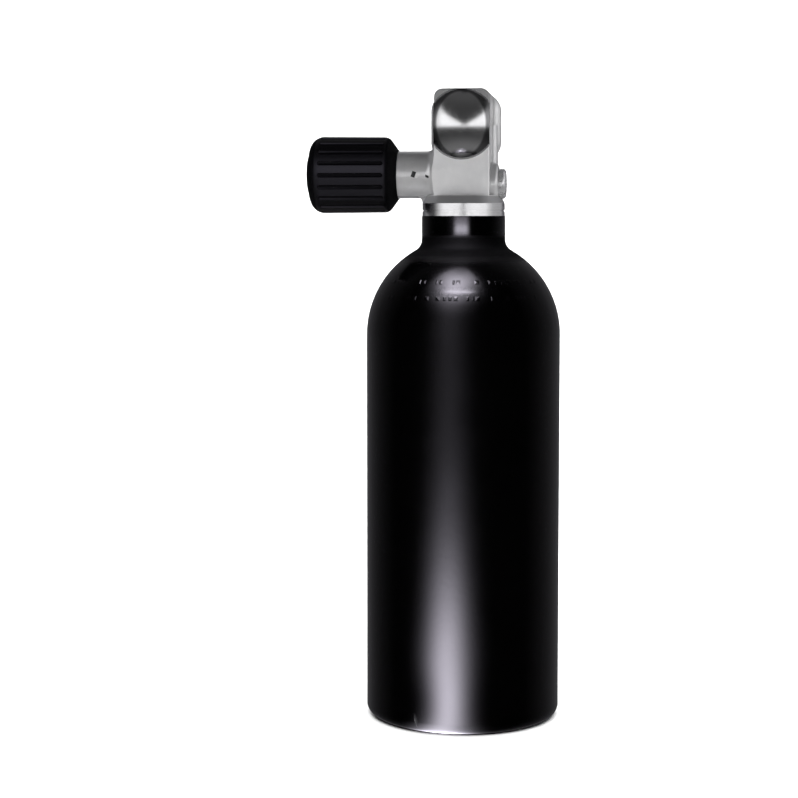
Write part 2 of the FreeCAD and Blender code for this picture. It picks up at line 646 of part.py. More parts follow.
def knob_outer_profile():
    """Outside of the rubber grip from its mouth, over the taper, to the middle of its end."""
    shoulder_r = KNOB_INNER_R - KNOB_SHOULDER_R
    corner_x = KNOB_OUTER_X + KNOB_CORNER_R + KNOB_END_RISE
    corner_r = KNOB_OUTER_R - KNOB_CORNER_R
    return [
        line(xr_knob(KNOB_INNER_X, KNOB_MOUTH_R), xr_knob(KNOB_SLOPE_END_X, KNOB_SLOPE_END_R)),
        corner((KNOB_BARREL_X, shoulder_r), KNOB_SHOULDER_R, KNOB_MOUTH_TILT_DEG, 90, xr_knob),
        line(xr_knob(KNOB_BARREL_X, KNOB_INNER_R), xr_knob(corner_x, KNOB_OUTER_R)),
        corner((corner_x, corner_r), KNOB_CORNER_R, 90, 180, xr_knob),
        line(xr_knob(corner_x - KNOB_CORNER_R, corner_r), xr_knob(KNOB_OUTER_X, KNOB_HOLE_R)),
    ]


def make_knob_grip():
    """Rubber cover: tapered barrel with finger grooves all round."""
    edges = knob_outer_profile() + [
        line(xr_knob(KNOB_OUTER_X, KNOB_HOLE_R), xr_knob(KNOB_CORE_OUTER_X, KNOB_HOLE_R)),
        line(xr_knob(KNOB_CORE_OUTER_X, KNOB_HOLE_R), xr_knob(KNOB_CORE_OUTER_X, KNOB_CORE_R)),
        line(xr_knob(KNOB_CORE_OUTER_X, KNOB_CORE_R), xr_knob(KNOB_CORE_INNER_X, KNOB_CORE_R)),
        line(xr_knob(KNOB_CORE_INNER_X, KNOB_CORE_R), xr_knob(KNOB_CORE_INNER_X, KNOB_MOUTH_R)),
        line(xr_knob(KNOB_CORE_INNER_X, KNOB_MOUTH_R), xr_knob(KNOB_INNER_X, KNOB_MOUTH_R)),
    ]
    grip = turned(edges, V(0, 0, BRANCH_Z), X_AXIS)
    corner_x = KNOB_OUTER_X + KNOB_CORNER_R + KNOB_END_RISE
    offset = KNOB_GROOVE_R - KNOB_GROOVE_DEPTH
    start = V(KNOB_BARREL_X, 0, BRANCH_Z + KNOB_INNER_R + offset)
    run = V(corner_x - KNOB_BARREL_X, 0, KNOB_OUTER_R - KNOB_INNER_R)
    for rib in range(KNOB_RIB_COUNT):
        groove = Part.makeCylinder(KNOB_GROOVE_R, run.Length, start, run)
        groove = groove.fuse(Part.makeSphere(KNOB_GROOVE_R, start)).fuse(
            Part.makeSphere(KNOB_GROOVE_R, start.add(run)))
        turn = KNOB_RIB_PHASE_DEG + rib * 360 / KNOB_RIB_COUNT
        groove.rotate(V(0, 0, BRANCH_Z), V(-1, 0, 0), turn)
        grip = grip.cut(groove)
    return grip


def make_knob_core():
    """Hard core: a cup over the gland nut, a web with the bush, and the spring's well."""
    core = x_cylinder(KNOB_CORE_R, KNOB_CORE_OUTER_X, KNOB_CORE_INNER_X, BRANCH_Z)
    core = core.fuse(x_cylinder(KNOB_HOLE_R, KNOB_RIM_X, KNOB_CORE_INNER_X, BRANCH_Z))
    core = core.cut(x_cylinder(KNOB_NUT_CAVITY_R, KNOB_WEB_INNER_X, KNOB_CORE_INNER_X, BRANCH_Z))
    core = core.cut(x_cylinder(KNOB_SPRING_CAVITY_R, KNOB_RIM_X, KNOB_WEB_OUTER_X, BRANCH_Z))
    return core.cut(x_cylinder(BUSH_R, KNOB_WEB_OUTER_X, KNOB_WEB_INNER_X, BRANCH_Z))


def make_knob_square_bush():
    across = SPINDLE_SQUARE_AF + BUSH_GAP
    square = x_box(KNOB_WEB_INNER_X + OVERCUT, KNOB_WEB_OUTER_X - OVERCUT, across, across, BRANCH_Z)
    return x_cylinder(BUSH_R, KNOB_WEB_OUTER_X, KNOB_WEB_INNER_X, BRANCH_Z).cut(square)


def make_knob_spring():
    """Compression spring between the bush and the washer."""
    first_x = KNOB_WEB_OUTER_X - SPRING_WIRE_R - SPRING_END_GAP
    length = first_x - KNOB_WASHER_X - SPRING_WIRE_R - SPRING_END_GAP
    helix = Part.makeHelix(length / SPRING_TURNS, length, SPRING_MEAN_R)
    section = Part.Wire(Part.makeCircle(SPRING_WIRE_R, V(SPRING_MEAN_R, 0, 0), Y_AXIS))
    coil = Part.Wire(helix.Edges).makePipeShell([section], True, True)
    coil.rotate(V(0, 0, 0), Y_AXIS, -90)
    coil.translate(V(first_x, 0, BRANCH_Z))
    return coil


def make_knob_washer():
    x_to = KNOB_WASHER_X - KNOB_WASHER_T
    return x_ring(KNOB_WASHER_R, SPINDLE_TIP_R + KNOB_WASHER_GAP, KNOB_WASHER_X, x_to, BRANCH_Z)


def make_knob_nut():
    x_from = KNOB_WASHER_X - KNOB_WASHER_T
    nut = x_hexagon(KNOB_NUT_AF, x_from, x_from - KNOB_NUT_T, BRANCH_Z)
    return nut.cut(x_cylinder(SPINDLE_TIP_R + KNOB_NUT_GAP, x_from, x_from - KNOB_NUT_T, BRANCH_Z))


PARTS = {
    "cylinder_shell": make_cylinder_shell,
    "neck_o_ring": make_neck_o_ring,
    "valve_body": make_valve_body,
    "side_port_plug": make_side_port_plug,
    "side_plug_o_ring": make_side_plug_o_ring,
    "dip_tube": make_dip_tube,
    "seat_disc": make_seat_disc,
    "seat_carrier": make_seat_carrier,
    "drive_spindle": make_drive_spindle,
    "inner_spindle_o_ring": lambda: make_spindle_o_ring(INNER_GROOVE_X),
    "outer_spindle_o_ring": lambda: make_spindle_o_ring(OUTER_GROOVE_X),
    "backup_ring": make_backup_ring,
    "thrust_washer": make_thrust_washer,
    "gland_nut": make_gland_nut,
    "gland_o_ring": make_gland_o_ring,
    "knob_grip": make_knob_grip,
    "knob_core": make_knob_core,
    "knob_square_bush": make_knob_square_bush,
    "knob_spring": make_knob_spring,
    "knob_washer": make_knob_washer,
    "knob_nut": make_knob_nut,
}


if __name__ == "__main__":
    os.makedirs("parts", exist_ok=True)
    for name, make in PARTS.items():
        solid = make()
        solid.exportStep("parts/" + name + ".step")
        box = solid.BoundBox
        print(f"{name:22s} solids {len(solid.Solids)} valid {solid.isValid()} {solid.Volume / 1000:9.3f} cm3",
              f"X {box.XMin:.2f}..{box.XMax:.2f}  Z {box.ZMin:.2f}..{box.ZMax:.2f}")
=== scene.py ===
"""Looks of the small scuba tank: finishes, outlet thread, stamps, floor, lights and camera. Metres."""
import bpy
import bmesh
import json
import math
import random
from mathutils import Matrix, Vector


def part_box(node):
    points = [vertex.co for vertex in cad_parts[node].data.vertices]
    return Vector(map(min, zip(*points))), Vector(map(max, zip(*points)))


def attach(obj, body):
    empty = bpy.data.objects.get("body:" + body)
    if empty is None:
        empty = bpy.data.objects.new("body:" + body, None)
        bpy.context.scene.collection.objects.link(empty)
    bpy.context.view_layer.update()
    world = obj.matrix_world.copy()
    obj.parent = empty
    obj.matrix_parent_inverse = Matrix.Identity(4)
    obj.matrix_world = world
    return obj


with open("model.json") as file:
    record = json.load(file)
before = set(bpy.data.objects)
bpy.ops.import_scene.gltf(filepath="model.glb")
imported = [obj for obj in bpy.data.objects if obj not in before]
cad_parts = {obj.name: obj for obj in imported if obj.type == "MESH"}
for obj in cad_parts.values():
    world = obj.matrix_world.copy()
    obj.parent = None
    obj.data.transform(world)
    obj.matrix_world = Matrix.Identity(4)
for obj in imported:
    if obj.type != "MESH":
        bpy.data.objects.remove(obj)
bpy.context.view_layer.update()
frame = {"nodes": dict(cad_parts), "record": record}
MM = 0.001

# ---- places read from the frame ----
_, SHELL_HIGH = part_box("cylinder_shell")
KNOB_LOW, KNOB_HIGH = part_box("knob_grip")
OUTLET = {m["name"]: m for m in frame["record"]["mounts"]}["regulator_outlet"]
NECK_TOP_Z = SHELL_HIGH.z
KNOB_Z = (KNOB_LOW.z + KNOB_HIGH.z) / 2
_, OUTLET_MID_Y, HEAD_Z = OUTLET["pos_m"]
OUTLET_R = OUTLET["dims"]["r_mm"] * MM
OUTLET_LENGTH = OUTLET["dims"]["length_mm"] * MM

# ---- edges of the finishes and of the painted shade, each from the place where it starts to where it is full ----
FOOT_SCUFF_Z = (0.012, 0.001)
NECK_ROOT_LOW_Z = (0.264, 0.269)
NECK_ROOT_HIGH_Z = (0.2812, 0.2788)
DOME_Y = (-0.0148, -0.0153)
DOME_EDGE_R = (0.0204, 0.0202)
DOME_OVAL = (0.0156, 0.0203)                # half width and half height
DOME_RIM_SHADE = (0.87, 0.94)                     # shares of that oval, from where the painted shade of the rim starts to where it is full
# where the upper front corners of the head are darkened with painted shade
HEAD_CORNER_SHADE_Y = (-0.0105, -0.012)
HEAD_CORNER_SHADE_Z = (HEAD_Z - 0.014, HEAD_Z - 0.006)
COLLAR_Z = (NECK_TOP_Z + 0.0075, NECK_TOP_Z + 0.0072)
# where the cone over the collar is darkened with painted shade
CONE_SHADE_Z = (NECK_TOP_Z + 0.0117, NECK_TOP_Z + 0.0113)
KNOB_HOLLOW_R = (0.0217, 0.0212)
DOME_RING_WAVE = 5200                       # radians in a metre, for the marks of turning
COLLAR_RING_WAVE = 7000

# ---- outlet thread ----
THREAD_PITCH = 1.814 * MM
THREAD_DEPTH = 1.1 * MM
THREAD_PROFILE = ((0.46, 0.0), (0.1, 1.0), (-0.1, 1.0), (-0.46, 0.0))   # shares of the pitch and the depth
THREAD_STEPS = 72                           # in a turn
THREAD_RUN_IN = 20                          # steps in which it rises at each end
THREAD_LEAST_RISE = 0.02
THREAD_GAP = 0.00001                        # between its foot and the bore

# ---- stamps and marks ----
STAMP_ROWS = ((0.2545, -52, 60), (0.2456, -50, 58))     # height, first and last azimuth in degrees
STAMP_SEED = 11
STAMP_GROUPS = (1, 2, 3, 4)
STAMP_SPACES_DEG = (3, 5, 8)
STAMP_WIDTHS = (1.2 * MM, 1.8 * MM, 2.6 * MM)
STAMP_HEIGHT = 2.7 * MM
STAMP_GAP = 1.3 * MM
STAMP_RISE = 0.24 * MM
BRANCH_MARKS = ((-0.0278, KNOB_Z, 2.3 * MM, 3.4 * MM),  # x, z, width, height
                (-0.0200, KNOB_Z - 0.0012, 2.5 * MM, 1.4 * MM))
BRANCH_MARK_ACROSS = (1, 0, -0.35)
BRANCH_MARK_RISE = 0.2 * MM
STROKE_BEVEL = 0.38                         # share of a stroke's shorter side

# ---- camera ----
CAMERA_DISTANCE = 1.10
CAMERA_HEIGHT = 0.290
CAMERA_AZIMUTH_DEG = 4.8
CAMERA_PITCH_DEG = -4.25
CAMERA_YAW_DEG = 1.95
CAMERA_LENS_MM = 85.3
CAMERA_SHIFT_Y = -0.05


# ---------------------------------------------------------------- node helpers

class Shader:
    """A material's node tree, with short calls for the nodes that the finishes share."""

    NOISE_MIDDLE = (0.3, 0.7)       # nearly all of a noise lies between these

    def __init__(self, name):
        self.material = bpy.data.materials.new(name)
        self.material.use_nodes = True
        self.tree = self.material.node_tree
        self.bsdf = self.tree.nodes["Principled BSDF"]
        coordinates = self.tree.nodes.new("ShaderNodeTexCoord")
        self.place = coordinates.outputs["Object"]

    def feed(self, socket, value):
        """Gives a socket a number, a colour or another node's output."""
        if isinstance(value, tuple):
            socket.default_value = (*value, 1.0)
        elif isinstance(value, (int, float)):
            socket.default_value = value
        else:
            self.tree.links.new(value, socket)

    def surface(self, **values):
        """Feeds the surface shader's sockets, by name with spaces as underscores."""
        for name, value in values.items():
            self.feed(self.bsdf.inputs[name.replace("_", " ")], value)

    def noise(self, scale, detail, stretch=(1, 1, 1)):
        """Noise of the place on the object, scale in cells per metre."""
        mapping = self.tree.nodes.new("ShaderNodeMapping")
        mapping.inputs["Scale"].default_value = stretch
        self.feed(mapping.inputs["Vector"], self.place)
        node = self.tree.nodes.new("ShaderNodeTexNoise")
        self.feed(node.inputs["Scale"], scale)
        self.feed(node.inputs["Detail"], detail)
        self.feed(node.inputs["Vector"], mapping.outputs["Vector"])
        return node.outputs["Fac"]

    def math(self, operation, a, b=0.0):
        node = self.tree.nodes.new("ShaderNodeMath")
        node.operation = operation
        self.feed(node.inputs[0], a)
        self.feed(node.inputs[1], b)
        return node.outputs[0]

    def ramp(self, value, low, high, out_low=0.0, out_high=1.0):
        """Value mapped from one range to another and clamped."""
        node = self.tree.nodes.new("ShaderNodeMapRange")
        self.feed(node.inputs["Value"], value)
        self.feed(node.inputs["From Min"], low)
        self.feed(node.inputs["From Max"], high)
        self.feed(node.inputs["To Min"], out_low)
        self.feed(node.inputs["To Max"], out_high)
        return node.outputs["Result"]

    def patches(self, grain, out_low, out_high):
        """Noise between two numbers; grain is what noise() takes."""
        return self.ramp(self.noise(*grain), *self.NOISE_MIDDLE, out_low, out_high)

    def mix(self, data_type, sockets, factor, a, b):
        node = self.tree.nodes.new("ShaderNodeMix")
        node.data_type = data_type
        first, second, out = sockets
        self.feed(node.inputs[0], factor)
        self.feed(node.inputs[first], a)
        self.feed(node.inputs[second], b)
        return node.outputs[out]

    def mix_number(self, factor, a, b):
        return self.mix("FLOAT", (2, 3, 0), factor, a, b)

    def mix_colour(self, factor, a, b):
        return self.mix("RGBA", (6, 7, 2), factor, a, b)

    def axis(self, name):
        node = self.tree.nodes.new("ShaderNodeSeparateXYZ")
        self.feed(node.inputs[0], self.place)
        return node.outputs[name]

    def length(self, a, b):
        """Length of a line from its parts along two axes."""
        squares = self.math("ADD", self.math("MULTIPLY", a, a), self.math("MULTIPLY", b, b))
        return self.math("SQRT", squares)

    def bump(self, height, depth):
        """Bump of a height from 0 to 1 that stands for the depth in metres."""
        node = self.tree.nodes.new("ShaderNodeBump")
        self.feed(node.inputs["Strength"], 1.0)
        self.feed(node.inputs["Distance"], depth)
        self.feed(node.inputs["Height"], height)
        self.surface(Normal=node.outputs["Normal"])


# ---------------------------------------------------------------- finishes

def make_black_paint():
    """Gloss black, scuffed at the foot and dull at the root of the neck."""
    s = Shader("gloss_black_paint")
    z = s.axis("Z")
    scuff = s.ramp(s.noise(160, 8, (1, 1, 0.35)), 0.66, 0.74)
    wear = s.math("MULTIPLY", scuff, s.ramp(z, *FOOT_SCUFF_Z))
    root = s.math("MINIMUM", s.ramp(z, *NECK_ROOT_LOW_Z), s.ramp(z, *NECK_ROOT_HIGH_Z))
    paint = s.mix_colour(s.noise(35, 4), (0.0002, 0.0002, 0.0003), (0.0005, 0.00045, 0.0007))
    polish = s.mix_number(root, s.patches((60, 5), 0.13, 0.17), 0.6)
    s.surface(Base_Color=s.mix_colour(wear, paint, (0.16, 0.16, 0.165)),
              Roughness=s.mix_number(wear, polish, 0.5),
              Specular_IOR_Level=s.mix_number(root, 0.5, 0.12))
    s.bump(s.noise(420, 2), 0.000012)
    return s.material


def make_valve_chrome():
    """Blasted chrome on the forging; polished on the round back, turned on the collar. Painted shade darkens
    the round back's rim, the cone over the collar and the upper front corners of the head.
    """
    s = Shader("valve_chrome")
    x, y, z = s.axis("X"), s.axis("Y"), s.axis("Z")
    over_head = s.math("SUBTRACT", z, HEAD_Z)
    from_head = s.length(x, over_head)
    dome = s.math("MULTIPLY", s.ramp(y, *DOME_Y), s.ramp(from_head, *DOME_EDGE_R))
    half_width, half_height = DOME_OVAL
    oval = s.length(s.math("MULTIPLY", x, 1 / half_width), s.math("MULTIPLY", over_head, 1 / half_height))
    # Painted shade: the outer rim of the round back gets a dark colour, standing in for the dark ring that
    # shade and dark reflections make there.
    rim_shade = s.math("MULTIPLY", s.ramp(oval, *DOME_RIM_SHADE), dome)
    # Painted shade: the upper front corners of the head, outside the round back, get a darker colour below.
    corner_shade = s.math("MULTIPLY", s.ramp(y, *HEAD_CORNER_SHADE_Y), s.ramp(z, *HEAD_CORNER_SHADE_Z))
    collar = s.ramp(z, *COLLAR_Z)
    polished = s.math("MAXIMUM", dome, collar)

    cloud = s.noise(70, 5)
    matt = s.mix_colour(s.ramp(cloud, 0.35, 0.65), (0.64, 0.64, 0.65), (0.76, 0.76, 0.765))
    # Painted shade: the cone between the collar and the block gets a darker blasted colour (0.36), standing
    # in for the dark reflection on it.
    matt = s.mix_colour(s.ramp(z, *CONE_SHADE_Z), matt, (0.36, 0.36, 0.37))
    # Painted shade of the head's upper front corners (0.3).
    matt = s.mix_colour(corner_shade, matt, (0.3, 0.3, 0.305))
    # At the rim the polished colour turns dark (0.22): painted shade.
    bright = s.mix_colour(rim_shade, (0.78, 0.78, 0.79), (0.22, 0.22, 0.225))
    blasted = s.ramp(cloud, *s.NOISE_MIDDLE, 0.28, 0.38)
    buffed = s.patches((400, 3), 0.17, 0.23)
    s.surface(Base_Color=s.mix_colour(polished, matt, bright),
              Metallic=s.mix_number(polished, 0.62, 1.0),
              Roughness=s.mix_number(polished, blasted, buffed))

    dome_rings = s.math("MULTIPLY", s.math("SINE", s.math("MULTIPLY", from_head, DOME_RING_WAVE)), dome)
    collar_rings = s.math("MULTIPLY", s.math("SINE", s.math("MULTIPLY", z, COLLAR_RING_WAVE)), collar)
    rings = s.math("MULTIPLY", s.math("ADD", dome_rings, collar_rings), 0.06)
    dents = s.math("ADD", s.noise(5200, 3), s.math("MULTIPLY", s.noise(420, 4), 3.0))
    s.bump(s.math("ADD", s.mix_number(polished, dents, 0.5), rings), 0.00002)
    return s.material


def make_knob_rubber():
    """Black rubber, smoother on the ribs than in the grooves and on the ends."""
    s = Shader("knob_rubber")
    from_axis = s.length(s.axis("Y"), s.math("SUBTRACT", s.axis("Z"), KNOB_Z))
    hollow = s.ramp(from_axis, *KNOB_HOLLOW_R)
    s.surface(Base_Color=s.mix_colour(s.noise(140, 5), (0.0012, 0.0011, 0.0016), (0.003, 0.0028, 0.0038)),
              Specular_IOR_Level=s.mix_number(hollow, 0.5, 0.1),
              Roughness=s.mix_number(hollow, s.patches((900, 4), 0.34, 0.42), 0.6))
    s.bump(s.noise(2600, 4), 0.00004)
    return s.material


def make_plain(name, dark, light, rough, grains, depth, **constants):
    """Finish whose colour, roughness and relief vary with noise; grains are what noise() takes for each."""
    s = Shader(name)
    s.surface(**constants)
    colour_grain, rough_grain, bump_grain = grains
    s.surface(Base_Color=s.mix_colour(s.noise(*colour_grain), dark, light),
              Roughness=s.patches(rough_grain, *rough))
    s.bump(s.noise(*bump_grain), depth)
    return s.material


def make_plastic(name, dark, light, roughness):
    rough = (roughness - 0.04, roughness + 0.04)
    return make_plain(name, dark, light, rough, ((200, 3), (1200, 3), (3000, 2)), 0.00001)


def make_turned_metal(name, dark, light, roughness):
    """Bare metal turned about the knob's axis or drawn along its length."""
    rough = (roughness - 0.06, roughness + 0.08)
    grains = ((180, 4), (900, 5), (900, 2, (6, 1, 1)))
    return make_plain(name, dark, light, rough, grains, 0.00001, Metallic=1.0)


FINISHES = {
    "black_paint": make_black_paint(),
    "satin_chrome": make_valve_chrome(),
    "polished_chrome": make_plain("polished_chrome", (0.7, 0.7, 0.71), (0.78, 0.78, 0.79), (0.24, 0.34),
                                  ((120, 3), (500, 4), (1400, 3)), 0.000003, Metallic=0.75),
    "knob_rubber": make_knob_rubber(),
    "black_rubber": make_plain("seal_rubber", (0.01, 0.01, 0.01), (0.02, 0.02, 0.02), (0.45, 0.55),
                               ((140, 5), (900, 4), (2600, 4)), 0.00004, Specular_IOR_Level=0.45),
    "black_plastic": make_plastic("black_plastic", (0.012, 0.012, 0.013), (0.02, 0.02, 0.021), 0.4),
    "white_ptfe": make_plastic("white_ptfe", (0.75, 0.75, 0.73), (0.85, 0.85, 0.84), 0.45),
    "seat_nylon": make_plastic("seat_nylon", (0.62, 0.57, 0.45), (0.7, 0.66, 0.55), 0.4),
    "bare_brass": make_turned_metal("bare_brass", (0.68, 0.5, 0.24), (0.78, 0.6, 0.32), 0.25),
    "stainless_steel": make_turned_metal("stainless_steel", (0.5, 0.5, 0.49), (0.62, 0.61, 0.6), 0.28),
}


def paint_cad_nodes():
    """Gives each CAD piece the finish of its material slot."""
    for part in frame["record"]["subparts"]:
        mesh = frame["nodes"][part["node"]].data
        mesh.materials.clear()
        mesh.materials.append(FINISHES[part["material_slot"]])


# ---------------------------------------------------------------- mesh helpers

def skin(work, rows, closed=False):
    """Faces between neighbouring rows of points; a closed row's last point joins its first."""
    for a, b in zip(rows, rows[1:]):
        for k in range(len(a) if closed else len(a) - 1):
            after = (k + 1) % len(a)
            work.faces.new((a[k], a[after], b[after], b[k]))


def make_object(work, name, material):
    """Puts a bmesh in the scene as an object."""
    mesh = bpy.data.meshes.new(name)
    work.to_mesh(mesh)
    work.free()
    mesh.materials.append(material)
    made = bpy.data.objects.new(name, mesh)
    bpy.context.scene.collection.objects.link(made)
    return made


def from_direction(azimuth, elevation, distance, target):
    """Point at a distance from a target; azimuth 0 is in front of the tank, positive towards +X."""
    a = math.radians(azimuth)
    e = math.radians(elevation)
    back = Vector((math.sin(a) * math.cos(e), -math.cos(a) * math.cos(e), math.sin(e)))
    return Vector(target) + back * distance


def surface_point(node, start, direction):
    """Where a straight line meets a CAD piece, and the way the surface faces there."""
    found, place, normal, _ = frame["nodes"][node].ray_cast(Vector(start), Vector(direction))
    if not found:
        raise ValueError("no surface of " + node + " there")
    return place, normal


# ---------------------------------------------------------------- new pieces

def add_piece(work, name, slot):
    """Puts a bmesh in the scene as a piece of the tank."""
    bmesh.ops.recalc_face_normals(work, faces=work.faces)
    piece = make_object(work, name, FINISHES[slot])
    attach(piece, "tank")
    return piece


def make_outlet_thread():
    """Screw thread of the outlet: a ridge that winds along the bore."""
    start_y = OUTLET_MID_Y - OUTLET_LENGTH / 2 + THREAD_PITCH
    steps = (OUTLET_LENGTH - 2 * THREAD_PITCH) / THREAD_PITCH * THREAD_STEPS
    work = bmesh.new()
    rows = []
    for step in range(int(steps) + 1):
        angle = 2 * math.pi * step / THREAD_STEPS
        run = max(min(1.0, step / THREAD_RUN_IN, (steps - step) / THREAD_RUN_IN), THREAD_LEAST_RISE)
        row = []
        for along, rise in THREAD_PROFILE:
            radius = OUTLET_R - THREAD_GAP - THREAD_DEPTH * rise * run
            y = start_y + THREAD_PITCH * (step / THREAD_STEPS + along)
            row.append(work.verts.new((radius * math.cos(angle), y, HEAD_Z + radius * math.sin(angle))))
        rows.append(row)
    skin(work, rows)
    return add_piece(work, "outlet_thread", "satin_chrome")


def add_stroke(work, place, normal, across, width, height, rise):
    """Low bevelled bar on a surface; across is the direction of its width."""
    across = (across - normal * across.dot(normal)).normalized()
    along = normal.cross(across)
    bevel = min(width, height) * STROKE_BEVEL
    rings = []
    for shrink, lift in ((0.0, -0.3 * rise), (0.0, 0.35 * rise), (bevel, rise)):
        w = width / 2 - shrink
        h = height / 2 - shrink
        corners = ((-w, -h), (w, -h), (w, h), (-w, h))
        rings.append([work.verts.new(place + across * u + along * v + normal * lift) for u, v in corners])
    skin(work, rings, closed=True)
    work.faces.new(rings[-1])


def make_shoulder_stamps():
    """Two rows of plain worn dabs round the front of the shoulder, where a bottle carries its data."""
    pick = random.Random(STAMP_SEED)
    work = bmesh.new()
    for z, azimuth, end in STAMP_ROWS:
        while azimuth < end:
            for _ in range(pick.choice(STAMP_GROUPS)):
                outside = from_direction(azimuth, 0, 0.2, (0, 0, z))
                inward = Vector((-outside.x, -outside.y, 0)).normalized()
                place, normal = surface_point("cylinder_shell", outside, inward)
                across = Vector((-outside.y, outside.x, 0))
                width = pick.choice(STAMP_WIDTHS)
                add_stroke(work, place, normal, across, width, STAMP_HEIGHT, STAMP_RISE)
                azimuth += math.degrees((width + STAMP_GAP) / Vector((place.x, place.y)).length)
            azimuth += pick.choice(STAMP_SPACES_DEG)
    return add_piece(work, "shoulder_stamps", "black_paint")


def make_branch_marks():
    """Two plain dark marks on the front of the branch, beside the knob."""
    work = bmesh.new()
    for x, z, width, height in BRANCH_MARKS:
        place, normal = surface_point("valve_body", (x, -0.1, z), (0, 1, 0))
        add_stroke(work, place, normal, Vector(BRANCH_MARK_ACROSS), width, height, BRANCH_MARK_RISE)
    return add_piece(work, "branch_marks", "black_plastic")


# ---------------------------------------------------------------- stage

def hide_from(thing, *rays):
    for ray in rays:
        setattr(thing, "visible_" + ray, False)


def make_floor():
    """Pale floor that curves up into a pale wall behind the tank."""
    half_width = 3.5
    front = -3.0
    bend_start = 1.6
    bend_r = 0.9
    bend_steps = 16
    top = 3.0
    line = [(front, 0.0), (bend_start, 0.0)]
    for step in range(1, bend_steps + 1):
        turn = math.radians(90 * step / bend_steps)
        line.append((bend_start + bend_r * math.sin(turn), bend_r * (1 - math.cos(turn))))
    line.append((bend_start + bend_r, top))
    s = Shader("pale_floor")
    s.surface(Base_Color=s.mix_colour(s.noise(3, 3), (0.86, 0.86, 0.86), (0.9, 0.9, 0.9)),
              Roughness=0.9, Specular_IOR_Level=0.1)
    work = bmesh.new()
    left, right = ([work.verts.new((x, y, z)) for y, z in line] for x in (-half_width, half_width))
    skin(work, [right, left])
    for face in work.faces:
        face.smooth = True
    floor = make_object(work, "floor", s.material)
    hide_from(floor, "glossy")
    return floor


def new_emission(name):
    """A material that only emits: it, its node tree, its emission node and its output node."""
    material = bpy.data.materials.new(name)
    material.use_nodes = True
    tree = material.node_tree
    tree.nodes.clear()
    return material, tree, tree.nodes.new("ShaderNodeEmission"), tree.nodes.new("ShaderNodeOutputMaterial")


def make_room_wall():
    """Pale round wall of the room, seen only where a view looks past the floor."""
    radius = 2.98
    high = 3.4
    steps = 96
    material, tree, emission, output = new_emission("pale_wall")
    material.cycles.emission_sampling = "NONE"
    cloud = tree.nodes.new("ShaderNodeTexNoise")
    cloud.inputs["Scale"].default_value = 0.6
    shade = tree.nodes.new("ShaderNodeMapRange")
    shade.inputs["To Min"].default_value = 0.84
    shade.inputs["To Max"].default_value = 0.94
    tree.links.new(cloud.outputs["Fac"], shade.inputs["Value"])
    tree.links.new(shade.outputs["Result"], emission.inputs["Strength"])
    tree.links.new(emission.outputs[0], output.inputs["Surface"])
    work = bmesh.new()
    rings = []
    for z in (0, high):
        ring = [from_direction(360 * k / steps, 0, radius, (0, 0, z)) for k in range(steps)]
        rings.append([work.verts.new(place) for place in ring])
    skin(work, rings, closed=True)
    wall = make_object(work, "room_wall", material)
    hide_from(wall, "glossy", "diffuse", "shadow")


# ---------------------------------------------------------------- soft panels
# Azimuths and elevations are in degrees, seen from the tank.

def make_glow_material(name, tint):
    """Light of the soft panels, as strong at each place as the panel's glow value says, and clear."""
    material, tree, emission, output = new_emission(name)
    emission.inputs["Color"].default_value = (*tint, 1.0)
    glow = tree.nodes.new("ShaderNodeAttribute")
    glow.attribute_name = "glow"
    clear = tree.nodes.new("ShaderNodeBsdfTransparent")
    both = tree.nodes.new("ShaderNodeAddShader")
    tree.links.new(glow.outputs["Fac"], emission.inputs["Strength"])
    tree.links.new(emission.outputs[0], both.inputs[0])
    tree.links.new(clear.outputs[0], both.inputs[1])
    tree.links.new(both.outputs[0], output.inputs["Surface"])
    return material


def make_soft_panel(name, look, us, vs, place, glow):
    """Softly shaded lamp: a grid of points place(u, v), each with a glow(u, v). It shows in reflections only.

    look is its material and the group of pieces that it lights.
    """
    material, lit = look
    work = bmesh.new()
    layer = work.verts.layers.float.new("glow")
    grid = []
    for u in us:
        column = []
        for v in vs:
            vert = work.verts.new(place(u, v))
            vert[layer] = glow(u, v)
            column.append(vert)
        grid.append(column)
    skin(work, grid)
    panel = make_object(work, name, material)
    hide_from(panel, "camera", "shadow", "diffuse")
    panel.light_linking.receiver_collection = lit


def bell(value, middle, spread):
    """1 in the middle, falling smoothly on both sides."""
    return math.exp(-0.5 * ((value - middle) / spread) ** 2)


def step_up(value, start, width):
    """0 below a start, 1 a width above it, smooth between."""
    t = min(1.0, max(0.0, (value - start) / width))
    return t * t * (3 - 2 * t)


def spaced(low, high, count):
    """Evenly spaced numbers from low to high."""
    return [low + (high - low) * k / (count - 1) for k in range(count)]


def round_about(target, distance):
    """Places on a sphere round a target, by azimuth and elevation."""
    def place(azimuth, elevation):
        return from_direction(azimuth, elevation, distance, target)
    return place


def make_low_light(name, look, middle, strength, width):
    """Low light on the table on one side of the tank, strongest close to it.

    Close to the tank it is narrower and turned a little; width scales its spread.
    """
    half_turn = 50
    over_table = 0.0004
    close_r, close_fade = 0.06, 0.2
    close_turn = 5
    far_spread, close_loss = 12.5, 4
    fade_r, fade_power = 0.417, 3.75
    far_share = 0.022
    first_r, growth, count = 0.047, 1.15, 31

    def place(azimuth, radius):
        return from_direction(azimuth, 0, radius, (0, 0, over_table))

    def glow(azimuth, radius):
        close = 1 - step_up(radius, close_r, close_fade)
        across = bell(azimuth, middle + close_turn * close, width * (far_spread - close_loss * close))
        return strength * across * (far_share + 1 / (1 + (radius / fade_r) ** fade_power))

    radii = [first_r * growth ** k for k in range(count)]
    azimuths = spaced(middle - half_turn, middle + half_turn, 33)
    make_soft_panel(name, look, azimuths, radii, place, glow)


